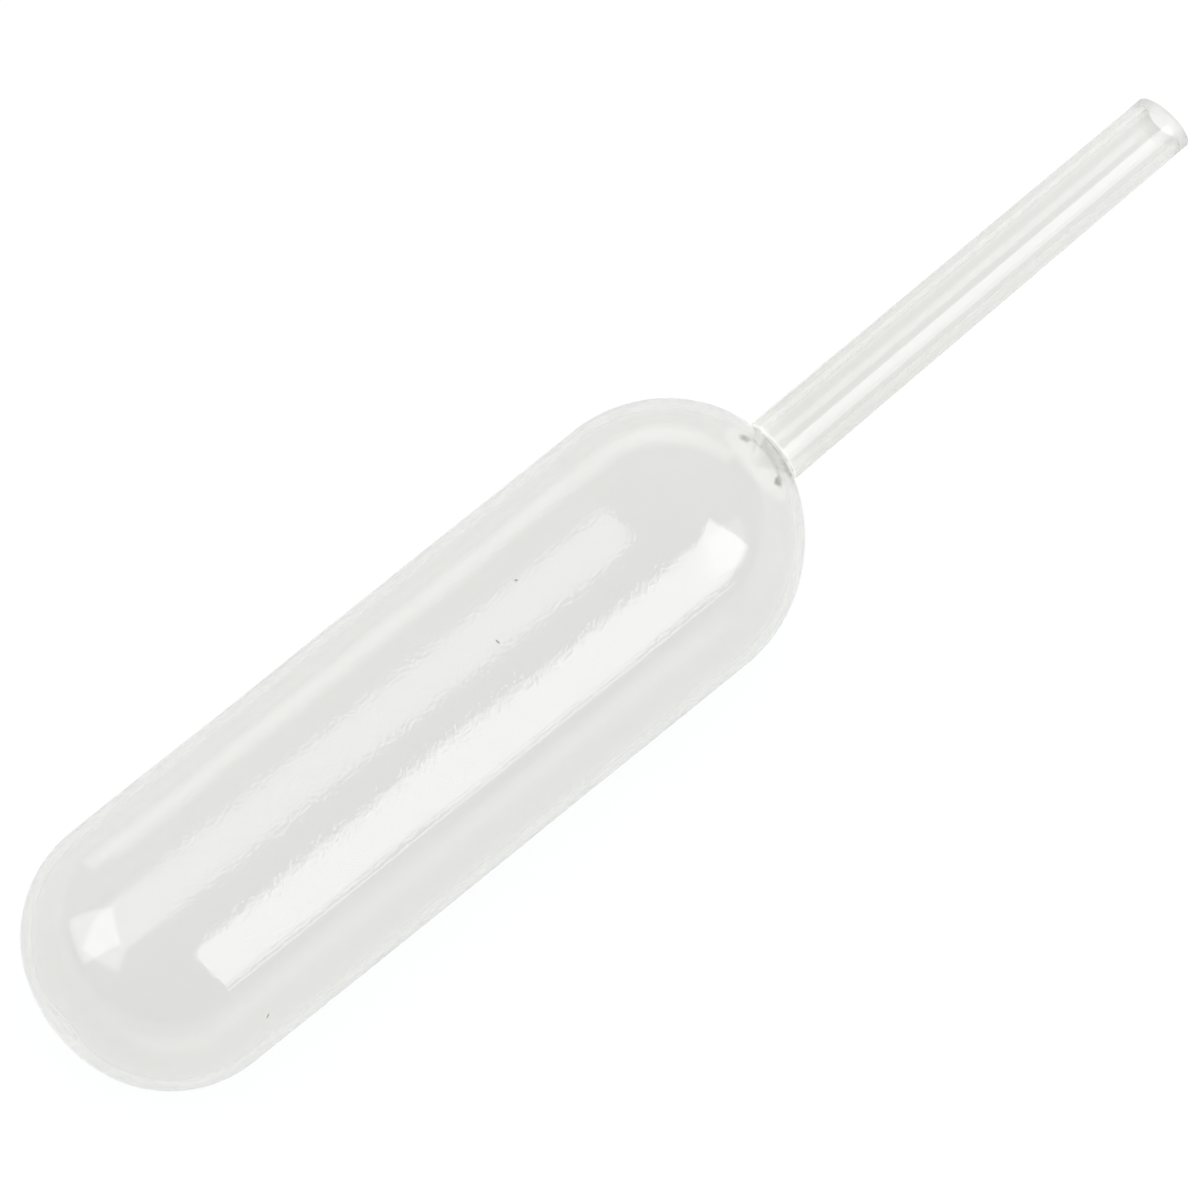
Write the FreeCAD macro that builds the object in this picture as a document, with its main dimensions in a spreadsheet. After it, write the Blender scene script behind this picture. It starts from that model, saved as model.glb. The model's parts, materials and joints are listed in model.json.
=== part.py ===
import FreeCAD, Part
import math
import os

import Sketcher

# Squeeze-bulb dropper pipette, blown in one piece from soft low-density polyethylene.
#
# It lies along X with its closed round end towards -X and its open tip towards +X. The bulb
# rests on the surface Z = 0, and X = 0 is the middle of the overall length. The wall is the
# outer form less the air inside it, and the two are made the same way: a bulb turned about
# the bulb's axis, and a stem turned about an axis of its own, which leans towards +Y.
# Lengths are in millimetres and angles in degrees.

DRIVING_SIZES = {
    "overall_length": 66.4,
    "bulb_diameter": 13.0,
    "bulb_wall": 0.45,
    "barrel_length": 29.1,  # the straight part of the bulb, between its two rounded ends
    "crown_radius": 12.4,  # the middle of the closed end
    "knuckle_radius": 5.9,  # the turn from the closed end's crown to the barrel
    "shoulder_radius": 7.2,  # the rounded end that carries the stem
    "stem_tip_diameter": 2.96,
    "stem_draft": 0.24,  # between the stem's side and its axis, so that it leaves its mould
    "bore_diameter": 2.0,
    "neck_blend": 0.3,  # outside, where the stem leaves the shoulder
    "mouth_blend": 0.5,  # inside, where the bore leaves the bulb
    "stem_lean": 1.4,  # between the stem's axis and the bulb's
    "lean_start": 2.0,  # from the barrel's end back to the point where the two axes cross
    "tip_cut": 6.0,  # between the cut end and a square one, which leaves the -Y side longer
    "overrun": 2.0,  # how far the stem and its bore run past the tip before it is cut
}

DERIVED_SIZES = {
    "bulb_radius": "bulb_diameter / 2",
    "end_height": "crown_radius - sqrt((crown_radius - knuckle_radius) ^ 2"
    " - (bulb_radius - knuckle_radius) ^ 2)",
    "barrel_end": "end_height + barrel_length",
    "axes_cross": "barrel_end - lean_start",
    "stem_run": "(overall_length - axes_cross) / cos(stem_lean * 1 deg)",
    "uncut_run": "stem_run + overrun",
    "stem_tip_radius": "stem_tip_diameter / 2",
    "root_search": "barrel_end + stem_tip_radius",
    "stem_start_radius": "stem_tip_radius + stem_run * tan(stem_draft * 1 deg)",
    "stem_uncut_radius": "stem_tip_radius - overrun * tan(stem_draft * 1 deg)",
    "air_radius": "bulb_radius - bulb_wall",
    "air_crown": "crown_radius - bulb_wall",
    "air_knuckle": "knuckle_radius - bulb_wall",
    "air_shoulder": "shoulder_radius - bulb_wall",
    "bore_radius": "bore_diameter / 2",
    "cut_angle": "90 + stem_lean + tip_cut",
    "cut_length": "3 * stem_tip_diameter",
    "cut_depth": "2 * overrun",
    "cut_start_x": "overall_length - stem_tip_diameter * cos(cut_angle * 1 deg)",
    "cut_start_y": "stem_run * sin(stem_lean * 1 deg) - stem_tip_radius"
    " - stem_tip_diameter * sin(cut_angle * 1 deg)",
}

# The sheet names that size each form: the mould's outside, and the air inside the wall.
OUTER_FORM = {
    "label": "outer_form",
    "barrel": "bulb_radius",
    "crown": "crown_radius",
    "knuckle": "knuckle_radius",
    "shoulder": "shoulder_radius",
    "stem_start": "stem_start_radius",
    "stem_end": "stem_uncut_radius",
    "blend": "neck_blend",
}
AIR_FORM = {
    "label": "air_form",
    "barrel": "air_radius",
    "crown": "air_crown",
    "knuckle": "air_knuckle",
    "shoulder": "air_shoulder",
    "stem_start": "bore_radius",
    "stem_end": "bore_radius",
    "blend": "mouth_blend",
}

START, END, CENTRE = 1, 2, 3  # the points of a sketch's line or arc
ORIGIN, X_AXIS = (-1, 1), -1  # a sketch's own origin point and horizontal axis

document = FreeCAD.newDocument("dropper_pipette")
sheet = document.addObject("Spreadsheet::Sheet", "sizes")


def fill_sheet():
    """Puts the driving sizes in the sheet as plain numbers, and the derived ones as formulas."""
    cells = {name: str(value) for name, value in DRIVING_SIZES.items()}
    cells.update({name: "=" + formula for name, formula in DERIVED_SIZES.items()})
    for row, (name, content) in enumerate(cells.items(), start=1):
        sheet.set(f"A{row}", name)
        sheet.set(f"B{row}", content)
        sheet.setAlias(f"B{row}", name)
    document.recompute()


def size(name):
    return float(sheet.get(name))


def add_sketch(body, name):
    """A sketch on its body's own XY plane, where the two axes lie."""
    sketch = body.newObject("Sketcher::SketchObject", name)
    plane = next(f for f in body.Origin.OriginFeatures if f.Role == "XY_Plane")
    sketch.AttachmentSupport = [(plane, "")]
    sketch.MapMode = "FlatFace"
    return sketch


def add_line(sketch, first, last, construction=False):
    ends = FreeCAD.Vector(*first, 0), FreeCAD.Vector(*last, 0)
    return sketch.addGeometry(Part.LineSegment(*ends), construction)


def add_arc(sketch, centre, radius, from_angle, to_angle):
    """An arc that runs anticlockwise between two angles, in radians from the X axis."""
    circle = Part.Circle(FreeCAD.Vector(*centre, 0), FreeCAD.Vector(0, 0, 1), radius)
    return sketch.addGeometry(Part.ArcOfCircle(circle, from_angle, to_angle), False)


def constrain(sketch, *constraint):
    return sketch.addConstraint(Sketcher.Constraint(*constraint))


def dimension(sketch, name, formula, *constraint):
    """Adds a dimension and binds it to a formula on the sheet."""
    sketch.renameConstraint(constrain(sketch, *constraint), name)
    sketch.setExpression(f"Constraints.{name}", formula)


def turn(body, sketch, axis, name):
    """A full revolution of a sketch about one of its axes."""
    turned = body.newObject("PartDesign::Revolution", name)
    turned.Profile = sketch
    turned.ReferenceAxis = (sketch, [axis])
    turned.Angle = 360
    document.recompute()
    return turned


def add_bulb(body, form):
    """The barrel and its two rounded ends, turned about the X axis."""
    crown, knuckle, shoulder = (size(form[k]) for k in ("crown", "knuckle", "shoulder"))
    barrel = size(form["barrel"])
    end_height, barrel_end = size("end_height"), size("barrel_end")
    crown_centre = (size("crown_radius"), 0)
    knuckle_centre = (end_height, barrel - knuckle)
    shoulder_centre = (barrel_end, barrel - shoulder)
    meet = math.atan2(knuckle_centre[1], knuckle_centre[0] - crown_centre[0])
    shoulder_foot = math.asin(-shoulder_centre[1] / shoulder)
    pole = (crown_centre[0] - crown, 0)
    summit = (barrel_end + shoulder * math.cos(shoulder_foot), 0)

    sketch = add_sketch(body, form["label"] + "_bulb_profile")
    crown_arc = add_arc(sketch, crown_centre, crown, meet, math.pi)
    knuckle_arc = add_arc(sketch, knuckle_centre, knuckle, math.pi / 2, meet)
    side = add_line(sketch, (end_height, barrel), (barrel_end, barrel))
    shoulder_arc = add_arc(sketch, shoulder_centre, shoulder, shoulder_foot, math.pi / 2)
    middle = add_line(sketch, summit, pole)

    constrain(sketch, "Tangent", crown_arc, START, knuckle_arc, END)
    constrain(sketch, "Tangent", knuckle_arc, START, side, START)
    constrain(sketch, "Tangent", side, END, shoulder_arc, END)
    constrain(sketch, "Coincident", shoulder_arc, START, middle, START)
    constrain(sketch, "Coincident", middle, END, crown_arc, END)
    constrain(sketch, "Horizontal", side)
    constrain(sketch, "PointOnObject", crown_arc, CENTRE, X_AXIS)
    constrain(sketch, "PointOnObject", middle, START, X_AXIS)
    constrain(sketch, "PointOnObject", middle, END, X_AXIS)
    dimension(sketch, "crown_centre", "sizes.crown_radius",
              "DistanceX", *ORIGIN, crown_arc, CENTRE, crown_centre[0])
    dimension(sketch, "crown_turn", f"sizes.{form['crown']}", "Radius", crown_arc, crown)
    dimension(sketch, "knuckle_turn", f"sizes.{form['knuckle']}",
              "Radius", knuckle_arc, knuckle)
    dimension(sketch, "barrel_height", f"sizes.{form['barrel']}",
              "DistanceY", *ORIGIN, side, START, barrel)
    dimension(sketch, "barrel_run", "sizes.barrel_length",
              "DistanceX", side, START, side, END, barrel_end - end_height)
    dimension(sketch, "shoulder_turn", f"sizes.{form['shoulder']}",
              "Radius", shoulder_arc, shoulder)
    return turn(body, sketch, "H_Axis", form["label"] + "_bulb")


def add_stem(body, form):
    """The stem, not yet cut to length, turned about the axis that leans towards +Y."""
    lean, run = math.radians(size("stem_lean")), size("uncut_run")
    start_radius, end_radius = size(form["stem_start"]), size(form["stem_end"])

    def at(along, out):
        return (size("axes_cross") + along * math.cos(lean) - out * math.sin(lean),
                along * math.sin(lean) + out * math.cos(lean))

    sketch = add_sketch(body, form["label"] + "_stem_profile")
    axis = add_line(sketch, at(0, 0), at(run, 0), construction=True)
    middle = add_line(sketch, at(0, 0), at(run, 0))
    far_end = add_line(sketch, at(run, 0), at(run, end_radius))
    side = add_line(sketch, at(run, end_radius), at(0, start_radius))
    near_end = add_line(sketch, at(0, start_radius), at(0, 0))

    constrain(sketch, "Coincident", axis, START, middle, START)
    constrain(sketch, "Coincident", axis, END, middle, END)
    constrain(sketch, "Coincident", middle, END, far_end, START)
    constrain(sketch, "Coincident", far_end, END, side, START)
    constrain(sketch, "Coincident", side, END, near_end, START)
    constrain(sketch, "Coincident", near_end, END, middle, START)
    constrain(sketch, "Perpendicular", middle, far_end)
    constrain(sketch, "Perpendicular", middle, near_end)
    constrain(sketch, "PointOnObject", axis, START, X_AXIS)
    dimension(sketch, "crossing", "sizes.axes_cross",
              "DistanceX", *ORIGIN, axis, START, size("axes_cross"))
    dimension(sketch, "lean", "sizes.stem_lean * 1 deg", "Angle", axis, lean)
    dimension(sketch, "run", "sizes.uncut_run", "Distance", axis, run)
    dimension(sketch, "start_radius", f"sizes.{form['stem_start']}",
              "Distance", near_end, start_radius)
    dimension(sketch, "end_radius", f"sizes.{form['stem_end']}",
              "Distance", far_end, end_radius)
    return turn(body, sketch, "Axis0", form["label"] + "_stem")


def blend_stem(body, form, stem):
    """Rounds the one edge between the shoulder and the stem, past the barrel, short of the tip."""
    root = [
        f"Edge{number}"
        for number, edge in enumerate(stem.Shape.Edges, start=1)
        if edge.BoundBox.XMin > size("root_search")
        and edge.BoundBox.XMax < size("overall_length")
    ]
    blend = body.newObject("PartDesign::Fillet", form["label"] + "_blend")
    blend.Base = (stem, root)
    blend.setExpression("Radius", f"sizes.{form['blend']}")
    document.recompute()


def cut_tip(body):
    """Cuts the stem to length with a straight blade that isn't quite square to it."""
    angle = math.radians(size("cut_angle"))
    length, depth = size("cut_length"), size("cut_depth")
    start = (size("cut_start_x"), size("cut_start_y"))
    along = (length * math.cos(angle), length * math.sin(angle))
    away = (depth * math.sin(angle), -depth * math.cos(angle))
    end = (start[0] + along[0], start[1] + along[1])

    sketch = add_sketch(body, "tip_cut_profile")
    blade = add_line(sketch, start, end)
    upper = add_line(sketch, end, (end[0] + away[0], end[1] + away[1]))
    back = add_line(sketch, (end[0] + away[0], end[1] + away[1]),
                    (start[0] + away[0], start[1] + away[1]))
    lower = add_line(sketch, (start[0] + away[0], start[1] + away[1]), start)
    for line, following in ((blade, upper), (upper, back), (back, lower), (lower, blade)):
        constrain(sketch, "Coincident", line, END, following, START)
    constrain(sketch, "Perpendicular", blade, upper)
    constrain(sketch, "Perpendicular", blade, lower)
    constrain(sketch, "Parallel", blade, back)
    dimension(sketch, "start_x", "sizes.cut_start_x",
              "DistanceX", *ORIGIN, blade, START, start[0])
    dimension(sketch, "start_y", "sizes.cut_start_y",
              "DistanceY", *ORIGIN, blade, START, start[1])
    dimension(sketch, "angle", "sizes.cut_angle * 1 deg", "Angle", blade, angle)
    dimension(sketch, "length", "sizes.cut_length", "Distance", blade, length)
    dimension(sketch, "depth", "sizes.cut_depth", "Distance", upper, depth)

    uncut = body.Shape.Volume
    cut = body.newObject("PartDesign::Pocket", "tip_cut")
    cut.Profile = sketch
    cut.SideType = "Symmetric"
    cut.setExpression("Length", "sizes.cut_length")
    document.recompute()
    if not cut.Shape.Volume < uncut:
        raise RuntimeError("the tip's cut removed nothing")


def blown_form(form):
    """A bulb with its stem blended into its shoulder."""
    body = document.addObject("PartDesign::Body", form["label"])
    add_bulb(body, form)
    blend_stem(body, form, add_stem(body, form))
    return body


def check(part):
    """Stops unless every object is sound and the part is one closed solid."""
    for item in document.Objects:
        if {"Invalid", "Error"} & set(item.State):
            raise RuntimeError(f"{item.Label} didn't build: {item.State}")
    shape = part.Shape
    if shape.isNull() or not shape.isValid() or len(shape.Solids) != 1:
        raise RuntimeError(f"{part.Label} isn't one valid solid")


fill_sheet()
outer_form = blown_form(OUTER_FORM)
cut_tip(outer_form)
air_form = blown_form(AIR_FORM)

pipette = document.addObject("Part::Cut", "pipette")
pipette.Label = "pipette"
pipette.Base = outer_form
pipette.Tool = air_form
pipette.setExpression("Placement.Base.x", "-sizes.overall_length / 2")
pipette.setExpression("Placement.Base.z", "sizes.bulb_radius")
document.recompute()

check(pipette)
os.makedirs("parts", exist_ok=True)
pipette.Shape.exportStep(f"parts/{pipette.Label}.step")
print(pipette.Label, pipette.Shape.BoundBox, f"{pipette.Shape.Volume:.1f} mm3")
print(f"air inside {air_form.Shape.Volume:.1f} mm3, to {size('overrun')} mm past the tip")
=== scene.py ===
import json
import math

import bpy
import numpy as np
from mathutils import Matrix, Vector


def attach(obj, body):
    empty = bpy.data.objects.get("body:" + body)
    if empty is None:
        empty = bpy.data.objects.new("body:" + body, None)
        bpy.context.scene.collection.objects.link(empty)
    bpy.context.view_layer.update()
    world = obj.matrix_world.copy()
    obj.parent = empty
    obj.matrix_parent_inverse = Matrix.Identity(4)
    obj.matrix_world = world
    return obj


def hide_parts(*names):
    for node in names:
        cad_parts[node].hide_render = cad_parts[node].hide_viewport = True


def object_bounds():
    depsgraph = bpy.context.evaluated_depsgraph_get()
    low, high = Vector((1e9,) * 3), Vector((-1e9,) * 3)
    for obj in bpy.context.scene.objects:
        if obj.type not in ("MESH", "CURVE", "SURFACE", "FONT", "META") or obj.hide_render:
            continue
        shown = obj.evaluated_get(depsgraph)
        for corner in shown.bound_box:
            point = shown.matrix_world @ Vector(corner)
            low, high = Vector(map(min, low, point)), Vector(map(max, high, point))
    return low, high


# A one-piece squeeze-bulb dropper pipette of milky, translucent low-density polyethylene, lying on
# a white light table. The wall is one closed skin, turned ring by ring: the outside from the closed
# end to the cut tip, over the rim, and back along the bore to the inside of the closed end.
# Lengths are in metres, with the CAD part's X along the bulb and Z up from the floor.

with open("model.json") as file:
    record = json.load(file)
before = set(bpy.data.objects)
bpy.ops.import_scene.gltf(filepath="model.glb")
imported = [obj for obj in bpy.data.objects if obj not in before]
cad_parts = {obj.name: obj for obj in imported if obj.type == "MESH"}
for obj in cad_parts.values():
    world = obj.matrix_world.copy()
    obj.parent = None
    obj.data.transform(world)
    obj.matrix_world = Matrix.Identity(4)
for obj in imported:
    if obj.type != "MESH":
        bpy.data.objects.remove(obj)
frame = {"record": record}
cad_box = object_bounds()

MM = 0.001

# The moulding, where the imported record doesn't give the size.
WALL = 0.45 * MM
CROWN_RADIUS = 12.4 * MM
KNUCKLE_RADIUS = 5.9 * MM
SHOULDER_RADIUS = 7.2 * MM
SHOULDER_SKEW = 0.046  # how far the shoulder sets over towards +Y for each metre along
STEM_TIP_RADIUS = 1.48 * MM
STEM_DRAFT = math.radians(0.24)
TIP_CUT = math.radians(7.4)  # between the cut end and the YZ plane
NECK_BLEND = 0.3 * MM
MOUTH_BLEND = 0.5 * MM
RIM_ROUND = 0.012 * MM
CUT_REACH = 2.0 * MM  # the last stretch of the stem, whose rings turn to meet the cut
NECK_START = 8.1 * MM  # where the bulb's centre line starts to turn into the stem's
NECK_LENGTH = 0.9 * MM
FITTING_STEPS = 8  # the neck's blend is fitted to the stem's draft in this many steps

# The mould's parting line: a fine ridge along both sides of the bulb.
SEAM_ANGLE = math.radians(139)  # from +Y towards +Z
SEAM_RUN = 5 * MM  # it dies away over this much at each end of the barrel
SEAM_HEIGHT = 0.009 * MM
SEAM_WIDTH = 0.05 * MM

# The soft barrel isn't quite round. Each wave: its height, its number round the bulb, its length
# along it, and where it starts, in turns.
WAVES = ((0.020 * MM, 3, 31 * MM, 0.10), (0.012 * MM, 5, 17 * MM, 0.62), (0.006 * MM, 8, 9 * MM, 0.35))
WAVE_RUN = 8 * MM

# The grain that the mould left, worn smooth but for the barrel's top.
GRAIN_SCALE = 5500  # patches for each metre
GRAIN_DEPTH = 0.02 * MM
GRAIN_RUN = 6 * MM
GRAIN_START = math.radians(50)  # from +Y towards +Z
GRAIN_RISE = 0.5
GRAIN_END = math.radians(155)
GRAIN_FALL = 0.6

# The plastic, which darkens with its depth.
PLASTIC_COLOUR = (0.965, 0.965, 0.961, 1)
PLASTIC_IOR = 1.51
PLASTIC_ROUGHNESS = (0.03, 0.06)  # where the grain is low and where it is high
CLOUD_COLOUR = (0.3, 0.3, 0.15, 1)
CLOUD_DENSITY = 175  # for each metre

# How much light the plastic lets straight through. The cut tip is milkier, and frosted.
CLEARNESS = 0.95
TIP_CLEARNESS = 0.8
TIP_COLOUR = (0.9, 0.9, 0.89, 1)
TIP_ROUGHNESS = 0.5
TIP_REACH = 0.2 * MM
TIP_FADE = 0.5 * MM

# Milky plastic spreads the table's light inside itself, which shows most in the corner round the
# stem's root and in the cut end. A faint glow stands for it in both.
ROOT_GLOW = 0.12
CUT_GLOW = 0.2
GLOW_COLOUR = (1, 1, 0.98, 1)
ROOT_REACH = 0.6 * MM
ROOT_FADE = 0.4 * MM
STEM_FALL = 4  # it dies away this many times sooner along the stem than over the bulb
STEM_SPREAD = 0.1 * MM  # about how much thicker the draft makes the stem at its root

# Specks of dirt in the skin: place along X, angle from +Y towards +Z in degrees, length, width,
# and the angle in degrees that the length lies at, from +X.
SPECKS = ((-5.76 * MM, 82.0, 0.15 * MM, 0.10 * MM, 40),
          (-8.31 * MM, 97.0, 0.24 * MM, 0.08 * MM, 85),
          (-26.40 * MM, 162.0, 0.20 * MM, 0.08 * MM, 130))
SPECK_DEPTH = 0.03 * MM
SPECK_SIDES = 14
SPECK_BANDS = 7
SPECK_LOBES = 0.22  # how far its outline is out of round, as a share of its reach
SPECK_NICKS = 0.12
SPECK_GRAIN = 20000  # patches for each metre
DIRT_COLOURS = ((0.20, 0.17, 0.13, 1), (0.42, 0.38, 0.31, 1))
DIRT_ROUGHNESS = 0.8

# Faces round a ring, and rings along each stretch of the wall's outline.
RING_SIDES = 168
SEAM_SIDES = 8  # extra columns of faces each side of a parting line
SEAM_REACH = 0.2 * MM
SEAM_MARGIN = 1.3  # the other columns keep this many reaches away from a parting line
CROWN_RINGS = 14
KNUCKLE_RINGS = 30
BARREL_RINGS = 44
SHOULDER_RINGS = 40
BLEND_RINGS = 14
STEM_RINGS = 14
CUT_RINGS = 10
RIM_RINGS = 6
END_RINGS = 4

# The light table and the room.
TABLE_HALF = 6.0
TABLE_COLOUR = (0.08, 0.08, 0.08, 1)
TABLE_ROUGHNESS = 0.9
TABLE_SHINE = 0.1
TABLE_LIGHT_COLOUR = (0.99, 0.995, 1, 1)
TABLE_LIGHT = 0.93
ROOM_LIGHT = 0.75

CAMERA_AZIMUTH = -41.2
CAMERA_ELEVATION = 66.41
CAMERA_DISTANCE = 0.6
CAMERA_SENSOR = 36
CAMERA_LENS = 403.4
CAMERA_AIM = (-1.75 * MM, -0.14 * MM)  # on the bulb's level


def mount(name):
    return next(m for m in frame["record"]["mounts"] if m["name"] == name)


def barrel_and_tip():
    """The barrel's radius, its two ends along X, and the bore's radius, tip and direction."""
    barrel, bore = mount("barrel"), mount("tip_bore")
    middle, half = barrel["pos_m"][0], barrel["dims"]["length_mm"] * MM / 2
    return (barrel["dims"]["r_mm"] * MM, middle - half, middle + half,
            bore["dims"]["r_mm"] * MM, Vector(bore["pos_m"]), Vector(bore["axis"]))


BULB_RADIUS, BARREL_START, BARREL_END, BORE_RADIUS, TIP, STEM_AXIS = barrel_and_tip()
AXIS_HEIGHT = TIP.z
ROOT_RADIUS = STEM_TIP_RADIUS + STEM_SPREAD
ROOT_RISE = ROOT_RADIUS - (BULB_RADIUS - SHOULDER_RADIUS)
ROOT_X = BARREL_END + math.sqrt(SHOULDER_RADIUS ** 2 - ROOT_RISE ** 2)


def arc(centre, radius, start, end, count):
    """Points (x, r, and the outline's direction there) along an arc, its first point left out."""
    turns = np.linspace(start, end, count + 1)[1:]
    way = math.copysign(1, end - start)
    return [(centre[0] + radius * math.cos(t), centre[1] + radius * math.sin(t),
             -way * math.sin(t), way * math.cos(t)) for t in turns]


def line(start, end, count):
    """Points (x, r, and the outline's direction there) along a line, its first point left out."""
    start, end = np.array(start), np.array(end)
    way = (end - start) / np.linalg.norm(end - start)
    return [(*(start + (end - start) * s), *way) for s in np.linspace(0, 1, count + 1)[1:]]


def skin_outline(inset, stem_radius, draft, blend):
    """One side of the wall, from the closed end's pole to just short of the tip."""
    crown, knuckle, shoulder = (r - inset for r in (CROWN_RADIUS, KNUCKLE_RADIUS, SHOULDER_RADIUS))
    barrel = BULB_RADIUS - inset
    knuckle_centre = (BARREL_START, barrel - knuckle)
    crown_centre = (cad_box[0][0] + CROWN_RADIUS, 0)
    meet = math.atan2(knuckle_centre[1], knuckle_centre[0] - crown_centre[0])
    shoulder_centre = (BARREL_END, barrel - shoulder)

    # The blend is an arc that touches the shoulder and the stem's side.
    def stem_at(x):
        return stem_radius + (TIP.x - x) * math.tan(draft)

    blend_x = BARREL_END + shoulder
    for _ in range(FITTING_STEPS):
        rise = stem_at(blend_x) + blend - shoulder_centre[1]
        blend_x = BARREL_END + math.sqrt((shoulder + blend) ** 2 - rise ** 2)
    blend_centre = (blend_x, stem_at(blend_x) + blend)
    foot = math.atan2(rise, blend_x - BARREL_END)

    end = TIP.x - RIM_ROUND
    outline = [(cad_box[0][0] + inset, 0.0, 0.0, 1.0)]
    outline += arc(crown_centre, crown, math.pi, meet, CROWN_RINGS)
    outline += arc(knuckle_centre, knuckle, meet, math.pi / 2, KNUCKLE_RINGS)
    outline += line((BARREL_START, barrel), (BARREL_END, barrel), BARREL_RINGS)
    outline += arc(shoulder_centre, shoulder, math.pi / 2, foot, SHOULDER_RINGS)
    outline += arc(blend_centre, blend, foot + math.pi, 1.5 * math.pi, BLEND_RINGS)
    turn_from = (end - CUT_REACH, stem_at(end - CUT_REACH))
    outline += line((blend_x, stem_at(blend_x)), turn_from, STEM_RINGS)
    outline += line(turn_from, (end, stem_at(end)), CUT_RINGS)
    return outline


def wall_outline():
    """The whole wall's outline, and how many of its points lie on the outside."""
    outside = skin_outline(0.0, STEM_TIP_RADIUS, STEM_DRAFT, NECK_BLEND)
    inside = skin_outline(WALL, BORE_RADIUS, 0.0, MOUTH_BLEND)
    back = TIP.x - RIM_ROUND
    rim = arc((back, STEM_TIP_RADIUS - RIM_ROUND), RIM_ROUND, math.pi / 2, 0, RIM_RINGS)
    rim += line((TIP.x, STEM_TIP_RADIUS - RIM_ROUND), (TIP.x, BORE_RADIUS + RIM_ROUND), END_RINGS)
    rim += arc((back, BORE_RADIUS + RIM_ROUND), RIM_ROUND, 0, -math.pi / 2, RIM_RINGS)
    inside = [(x, r, -along, -out) for x, r, along, out in inside[::-1]]
    return np.array(outside + rim[:-1] + inside), len(outside)


def ring_angles():
    """Angles round a ring, from +Y towards +Z, closer together at the two parting lines."""
    reach = SEAM_REACH / BULB_RADIUS
    near = np.linspace(-reach, reach, 2 * SEAM_SIDES + 1)
    seams = np.concatenate([near + SEAM_ANGLE, near + SEAM_ANGLE + math.pi])
    even = np.linspace(0, 2 * math.pi, RING_SIDES, endpoint=False)

    def gap(a, b):
        return np.abs((a - b + math.pi) % (2 * math.pi) - math.pi)

    nearest = np.minimum(gap(even, SEAM_ANGLE), gap(even, SEAM_ANGLE + math.pi))
    even = even[nearest > SEAM_MARGIN * reach]
    return np.sort(np.concatenate([seams, even]) % (2 * math.pi))


def ease(value):
    value = np.clip(value, 0, 1)
    return value * value * (3 - 2 * value)


def on_barrel(x, run):
    """1 along the barrel, going to 0 at its two ends over the run."""
    return ease((x - BARREL_START + run / 2) / run) * ease((BARREL_END + run / 2 - x) / run)


def seam_height(x, angle):
    """How far the parting lines stand proud of the bulb."""
    across = (angle - SEAM_ANGLE + math.pi / 2) % math.pi - math.pi / 2
    ridge = SEAM_HEIGHT * np.exp(-((across * BULB_RADIUS) / SEAM_WIDTH) ** 2)
    return ridge * on_barrel(x, SEAM_RUN)


def wave_height(x, angle):
    """How far the barrel is out of round. It lies on the floor, so nothing hangs below."""
    waves = sum(height * np.sin(count * angle + 2 * math.pi * (x / length + start))
                for height, count, length, start in WAVES)
    return waves * (0.5 + 0.5 * np.sin(angle)) * on_barrel(x, WAVE_RUN)


def frost(x):
    """1 at the cut tip, going to 0 away from it."""
    return 1 - ease((TIP.x - x - TIP_REACH) / TIP_FADE)


def root_glow(x, r):
    """How strongly the corner round the stem's root glows, at a place (x, r) on the outside."""
    along = np.where(x > ROOT_X, STEM_FALL, 1) * (x - ROOT_X)
    from_root = np.hypot(along, r - ROOT_RADIUS)
    return ROOT_GLOW * (1 - ease((from_root - ROOT_REACH) / ROOT_FADE))


def grain_left(x, angle, outside):
    """How strong the grain is. The outside alone has it."""
    top = ease((angle - GRAIN_START) / GRAIN_RISE) * ease((GRAIN_END - angle) / GRAIN_FALL)
    return outside * top * on_barrel(x, GRAIN_RUN)


def place(x, r, angle, outside):
    """The point of the wall for a place (x, r) on its outline and an angle round it."""
    r = r + wave_height(x, angle) + outside * seam_height(x, angle)
    on_stem = ease((x - NECK_START) / NECK_LENGTH)
    bulb_y = SHOULDER_SKEW * np.clip(x - BARREL_END, 0, None)
    stem_y = TIP.y + (x - TIP.x) * STEM_AXIS.y / STEM_AXIS.x
    cut = np.clip(1 - (TIP.x - x) / CUT_REACH, 0, None)
    across = r * np.cos(angle)
    return np.stack([x - cut * across * math.tan(TIP_CUT),
                     bulb_y + (stem_y - bulb_y) * on_stem + across,
                     AXIS_HEIGHT + r * np.sin(angle)], axis=-1)


def paint(mesh, name, values, at_poles):
    """Gives the mesh's points a value each, ring by ring and then at the two poles."""
    attribute = mesh.attributes.new(name, "FLOAT", "POINT")
    attribute.data.foreach_set("value", np.append(values.ravel(), (at_poles, at_poles)))


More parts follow.
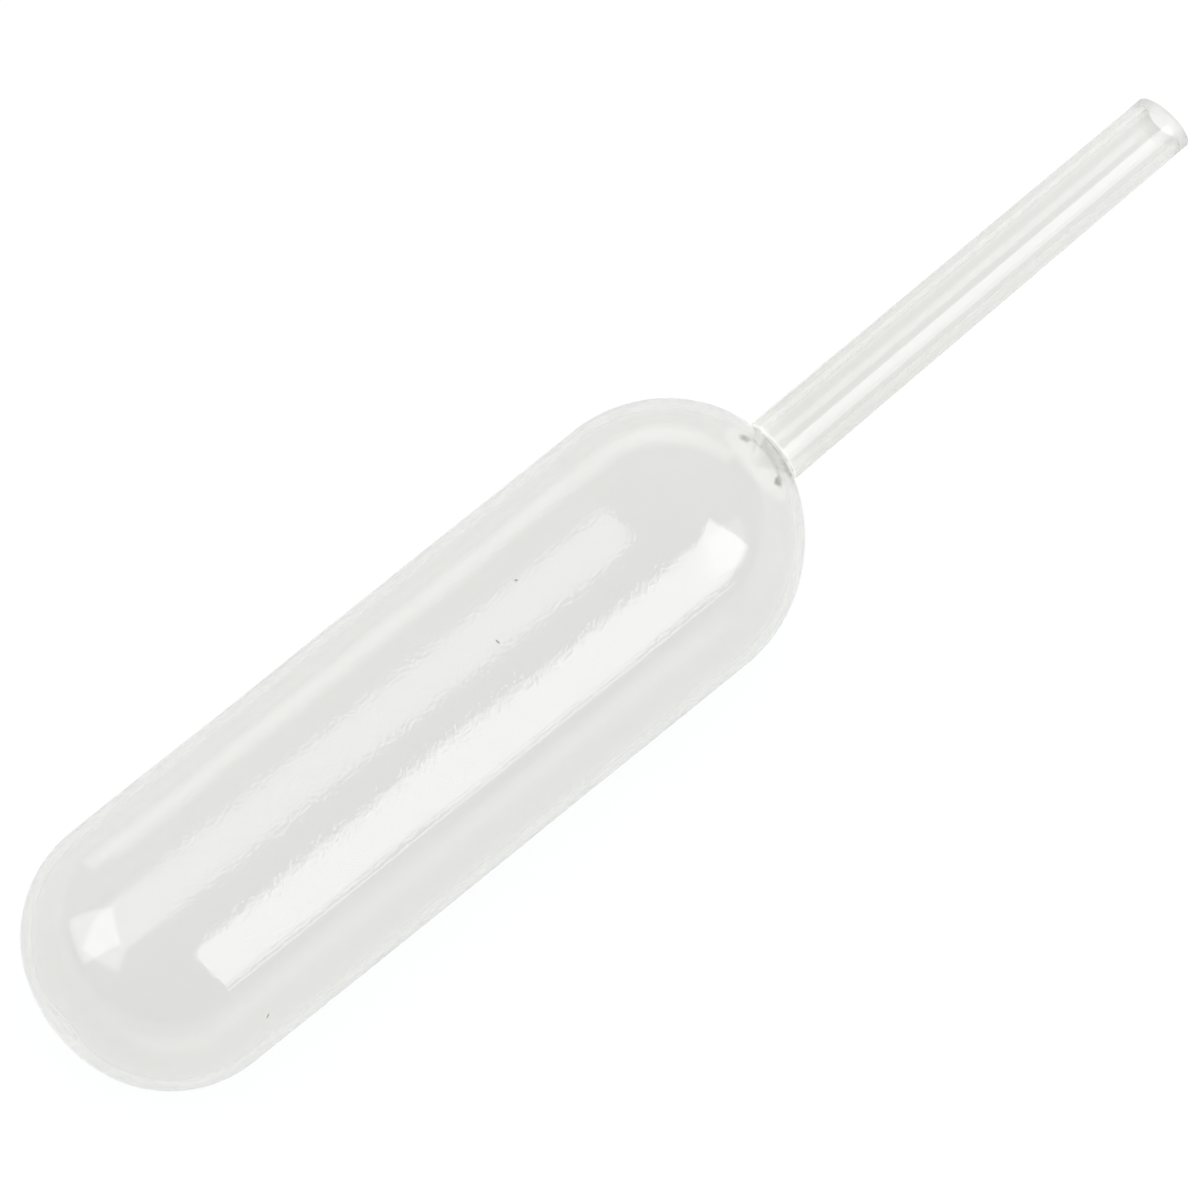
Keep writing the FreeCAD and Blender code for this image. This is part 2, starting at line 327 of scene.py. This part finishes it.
def add_pipette():
    outline, outside_count = wall_outline()
    angles = ring_angles()
    rings, sides = len(outline) - 2, len(angles)
    x, r, along, out = (column[:, None] for column in outline[1:-1].T)
    outside = (np.arange(1, rings + 1) < outside_count)[:, None] * 1.0
    angle = angles[None, :] + 0 * x

    def at(step, turn):
        return place(x + 0 * angle + step * along, r + step * out, angle + turn, outside)

    ring_points = at(0, 0)
    little = 0.001 * MM
    turn = 1e-4
    normals = np.cross(at(0, turn) - at(0, -turn), at(little, 0) - at(-little, 0))
    normals /= np.linalg.norm(normals, axis=-1, keepdims=True)
    poles = [(outline[i][0], 0.0, AXIS_HEIGHT) for i in (0, -1)]
    points = np.concatenate([ring_points.reshape(-1, 3), poles])
    normals = np.concatenate([normals.reshape(-1, 3), [(-1, 0, 0), (1, 0, 0)]])

    def corner(ring, side):
        return ring * sides + side % sides

    faces = [(corner(i, j), corner(i, j + 1), corner(i + 1, j + 1), corner(i + 1, j))
             for i in range(rings - 1) for j in range(sides)]
    first_pole, last_pole = rings * sides, rings * sides + 1
    faces += [(first_pole, corner(0, j + 1), corner(0, j)) for j in range(sides)]
    faces += [(last_pole, corner(rings - 1, j), corner(rings - 1, j + 1)) for j in range(sides)]

    mesh = bpy.data.meshes.new("pipette_wall")
    mesh.from_pydata(points.tolist(), [], faces)
    mesh.polygons.foreach_set("use_smooth", [True] * len(mesh.polygons))
    clear = CLEARNESS + (TIP_CLEARNESS - CLEARNESS) * frost(x) * outside
    paint(mesh, "grain", grain_left(x, angle, outside), 0)
    paint(mesh, "frost", np.repeat(frost(x), sides), 0)
    paint(mesh, "clearness", np.repeat(clear, sides), CLEARNESS)
    glow = root_glow(x, r) * outside + CUT_GLOW * (x > TIP.x - RIM_ROUND / 2)
    paint(mesh, "glow", np.repeat(glow, sides), 0)
    mesh.update()
    mesh.normals_split_custom_set_from_vertices(normals.tolist())
    wall = bpy.data.objects.new("pipette_wall", mesh)
    bpy.context.scene.collection.objects.link(wall)
    wall.data.materials.append(polyethylene())
    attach(wall, "root")
    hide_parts("pipette")


def add_specks():
    """Three small bits of dirt, pressed flat into the skin."""
    sides, bands = SPECK_SIDES, SPECK_BANDS
    points, faces = [], []
    for number, (x, degrees, length, width, lie) in enumerate(SPECKS):
        angle, lie = math.radians(degrees), math.radians(lie)
        centre = Vector(place(np.array(x), np.array(BULB_RADIUS), np.array(angle), 0.0).tolist())
        up = Vector((0, math.cos(angle), math.sin(angle)))
        round_it = Vector((0, -math.sin(angle), math.cos(angle)))
        long_way = Vector((1, 0, 0)) * math.cos(lie) + round_it * math.sin(lie)
        wide_way = up.cross(long_way)
        first = len(points)
        points.append(centre + up * SPECK_DEPTH / 2)
        for band in range(1, bands):
            height = math.cos(math.pi * band / bands)
            for side in range(sides):
                turn = 2 * math.pi * side / sides
                uneven = (1 + SPECK_LOBES * math.sin(2 * turn + number)
                          + SPECK_NICKS * math.sin(5 * turn + 2 * number))
                reach = math.sin(math.pi * band / bands) * uneven / 2
                points.append(centre + up * height * SPECK_DEPTH / 2
                              + long_way * math.cos(turn) * reach * length
                              + wide_way * math.sin(turn) * reach * width)
        points.append(centre - up * SPECK_DEPTH / 2)
        last = len(points) - 1
        for side in range(sides):
            after = (side + 1) % sides
            faces.append((first, first + 1 + side, first + 1 + after))
            for band in range(bands - 2):
                row = first + 1 + band * sides
                faces.append((row + side, row + sides + side, row + sides + after, row + after))
            faces.append((last, last - sides + after, last - sides + side))
    mesh = bpy.data.meshes.new("skin_specks")
    mesh.from_pydata([tuple(p) for p in points], [], faces)
    mesh.polygons.foreach_set("use_smooth", [True] * len(mesh.polygons))
    mesh.materials.append(dirt())
    specks = bpy.data.objects.new("skin_specks", mesh)
    bpy.context.scene.collection.objects.link(specks)
    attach(specks, "root")


def new_material(name):
    material = bpy.data.materials.new(name)
    material.use_nodes = True
    return material, material.node_tree.nodes, material.node_tree.links


def noise(nodes, links, scale, detail):
    position = nodes.new("ShaderNodeTexCoord")
    texture = nodes.new("ShaderNodeTexNoise")
    texture.inputs["Scale"].default_value = scale
    texture.inputs["Detail"].default_value = detail
    links.new(position.outputs["Object"], texture.inputs["Vector"])
    return texture.outputs["Fac"]


def blend_colours(nodes, links, colours, share):
    """The first colour where the share is 0, going to the second where it is 1."""
    blend = nodes.new("ShaderNodeMix")
    blend.data_type = "RGBA"
    blend.inputs["A"].default_value, blend.inputs["B"].default_value = colours
    links.new(share, blend.inputs["Factor"])
    return blend.outputs["Result"]


def painted(nodes, name):
    """A value that the mesh carries at each of its points."""
    attribute = nodes.new("ShaderNodeAttribute")
    attribute.attribute_name = name
    return attribute.outputs["Fac"]


def polyethylene():
    """Milky translucent plastic: clear enough to look through, with a soft gloss."""
    material, nodes, links = new_material("soft_polyethylene")
    shader = nodes["Principled BSDF"]
    frosted = painted(nodes, "frost")
    colour = blend_colours(nodes, links, (PLASTIC_COLOUR, TIP_COLOUR), frosted)
    links.new(colour, shader.inputs["Base Color"])
    shader.inputs["IOR"].default_value = PLASTIC_IOR
    clouding = nodes.new("ShaderNodeVolumeAbsorption")
    clouding.inputs["Color"].default_value = CLOUD_COLOUR
    clouding.inputs["Density"].default_value = CLOUD_DENSITY
    links.new(clouding.outputs["Volume"], nodes["Material Output"].inputs["Volume"])

    grain = noise(nodes, links, GRAIN_SCALE, 0)
    haze = nodes.new("ShaderNodeMapRange")
    haze.inputs["To Min"].default_value = PLASTIC_ROUGHNESS[0]
    haze.inputs["To Max"].default_value = PLASTIC_ROUGHNESS[1]
    links.new(grain, haze.inputs["Value"])
    rough = nodes.new("ShaderNodeMix")
    rough.inputs["B"].default_value = TIP_ROUGHNESS
    links.new(frosted, rough.inputs["Factor"])
    links.new(haze.outputs["Result"], rough.inputs["A"])
    links.new(rough.outputs["Result"], shader.inputs["Roughness"])
    links.new(painted(nodes, "clearness"), shader.inputs["Transmission Weight"])
    shader.inputs["Emission Color"].default_value = GLOW_COLOUR
    links.new(painted(nodes, "glow"), shader.inputs["Emission Strength"])
    material.cycles.emission_sampling = "NONE"

    bump = nodes.new("ShaderNodeBump")
    bump.inputs["Distance"].default_value = GRAIN_DEPTH
    links.new(painted(nodes, "grain"), bump.inputs["Strength"])
    links.new(grain, bump.inputs["Height"])
    links.new(bump.outputs["Normal"], shader.inputs["Normal"])
    return material


def dirt():
    material, nodes, links = new_material("dirt")
    shader = nodes["Principled BSDF"]
    colour = blend_colours(nodes, links, DIRT_COLOURS, noise(nodes, links, SPECK_GRAIN, 2))
    links.new(colour, shader.inputs["Base Color"])
    shader.inputs["Roughness"].default_value = DIRT_ROUGHNESS
    return material


def add_floor():
    """A white light table, lit from inside as well as from above."""
    material, nodes, _ = new_material("light_table")
    shader = nodes["Principled BSDF"]
    shader.inputs["Base Color"].default_value = TABLE_COLOUR
    shader.inputs["Roughness"].default_value = TABLE_ROUGHNESS
    shader.inputs["Specular IOR Level"].default_value = TABLE_SHINE
    shader.inputs["Emission Color"].default_value = TABLE_LIGHT_COLOUR
    shader.inputs["Emission Strength"].default_value = TABLE_LIGHT
    half = TABLE_HALF
    mesh = bpy.data.meshes.new("floor")
    mesh.from_pydata([(-half, -half, 0), (half, -half, 0), (half, half, 0), (-half, half, 0)],
                     [], [(0, 1, 2, 3)])
    mesh.materials.append(material)
    floor = bpy.data.objects.new("floor", mesh)
    bpy.context.scene.collection.objects.link(floor)


def direction(azimuth, elevation):
    """A unit vector from the part towards a place round it: azimuth 0 is -Y and 90 is +X."""
    a, e = math.radians(azimuth), math.radians(elevation)
    return Vector((math.sin(a) * math.cos(e), -math.cos(a) * math.cos(e), math.sin(e)))


def add_light(name, azimuth, elevation, distance, wide, high, radiance, colour=(1, 1, 1)):
    """A flat rectangular light that faces the part, wide and high in degrees as the part sees it."""
    lamp = bpy.data.lights.new(name, "AREA")
    lamp.shape = "RECTANGLE"
    lamp.size = 2 * distance * math.tan(math.radians(wide / 2))
    lamp.size_y = 2 * distance * math.tan(math.radians(high / 2))
    lamp.energy = radiance * math.pi * lamp.size * lamp.size_y
    lamp.color = colour
    light = bpy.data.objects.new(name, lamp)
    towards = direction(azimuth, elevation)
    light.location = Vector((0, 0, AXIS_HEIGHT)) + towards * distance
    light.rotation_euler = towards.to_track_quat("Z", "Y").to_euler()
    light.visible_camera = False
    bpy.context.scene.collection.objects.link(light)
    return light


def shade(light, across, up):
    """Lets a light's face vary: across and up are (place, brightness) pairs, where place goes from
    0 to 1 with the azimuth for across and with the height for up."""
    light.data.use_nodes = True
    nodes, links = light.data.node_tree.nodes, light.data.node_tree.links
    face = nodes.new("ShaderNodeNewGeometry")
    split = nodes.new("ShaderNodeSeparateXYZ")
    links.new(face.outputs["Parametric"], split.inputs["Vector"])
    product = nodes.new("ShaderNodeMath")
    product.operation = "MULTIPLY"
    for i, (axis, stops) in enumerate((("X", across), ("Y", up))):
        ramp = nodes.new("ShaderNodeValToRGB")
        ramp.color_ramp.interpolation = "EASE"
        while len(ramp.color_ramp.elements) < len(stops):
            ramp.color_ramp.elements.new(0.5)
        for element, (place_on_face, level) in zip(ramp.color_ramp.elements, stops):
            element.position = place_on_face
            element.color = (level, level, level, 1)
        links.new(split.outputs[axis], ramp.inputs["Fac"])
        links.new(ramp.outputs["Color"], product.inputs[i])
    links.new(product.outputs["Value"], nodes["Emission"].inputs["Strength"])


def add_lights():
    world = bpy.data.worlds.new("room")
    world.use_nodes = True
    background = world.node_tree.nodes["Background"]
    background.inputs["Color"].default_value = (1, 1, 1, 1)
    background.inputs["Strength"].default_value = ROOM_LIGHT
    bpy.context.scene.world = world
    window = add_light("window", azimuth=27, elevation=33.5, distance=1.0, wide=38, high=42,
                       radiance=2.75, colour=(0.97, 0.99, 1.0))
    shade(window, across=((0, 0.87), (0.3, 0.89), (0.9, 0.95)),
          up=((0, 0.6), (0.12, 1), (0.93, 1), (1, 0)))
    add_light("left_window", azimuth=-124, elevation=30, distance=1.0, wide=31, high=40,
              radiance=1.4, colour=(0.95, 0.97, 1.0))
    card = add_light("side_card", azimuth=142, elevation=13, distance=1.0, wide=84, high=23,
                     radiance=1.15)
    shade(card, across=((0, 0.6), (0.5, 1), (1, 0.6)), up=((0, 0.6), (0.5, 1), (1, 0.6)))
    fill = add_light("ceiling", azimuth=0, elevation=89, distance=2.0, wide=50, high=50, radiance=1.3)
    fill.visible_glossy = False
    fill.visible_transmission = False


def add_camera():
    camera = bpy.data.cameras.new("camera")
    camera.sensor_width = CAMERA_SENSOR
    camera.lens = CAMERA_LENS
    camera.clip_start = 0.01
    camera.clip_end = 50
    view = bpy.data.objects.new("camera", camera)
    towards = direction(CAMERA_AZIMUTH, CAMERA_ELEVATION)
    view.location = Vector((*CAMERA_AIM, AXIS_HEIGHT)) + towards * CAMERA_DISTANCE
    view.rotation_euler = towards.to_track_quat("Z", "Y").to_euler()
    bpy.context.scene.collection.objects.link(view)
    bpy.context.scene.camera = view


add_camera()
add_pipette()
add_specks()
add_floor()
add_lights()
bpy.context.scene.view_settings.view_transform = "Standard"
bpy.context.scene.cycles.max_bounces = 32
bpy.context.scene.cycles.transmission_bounces = 32
bpy.context.scene.cycles.glossy_bounces = 16
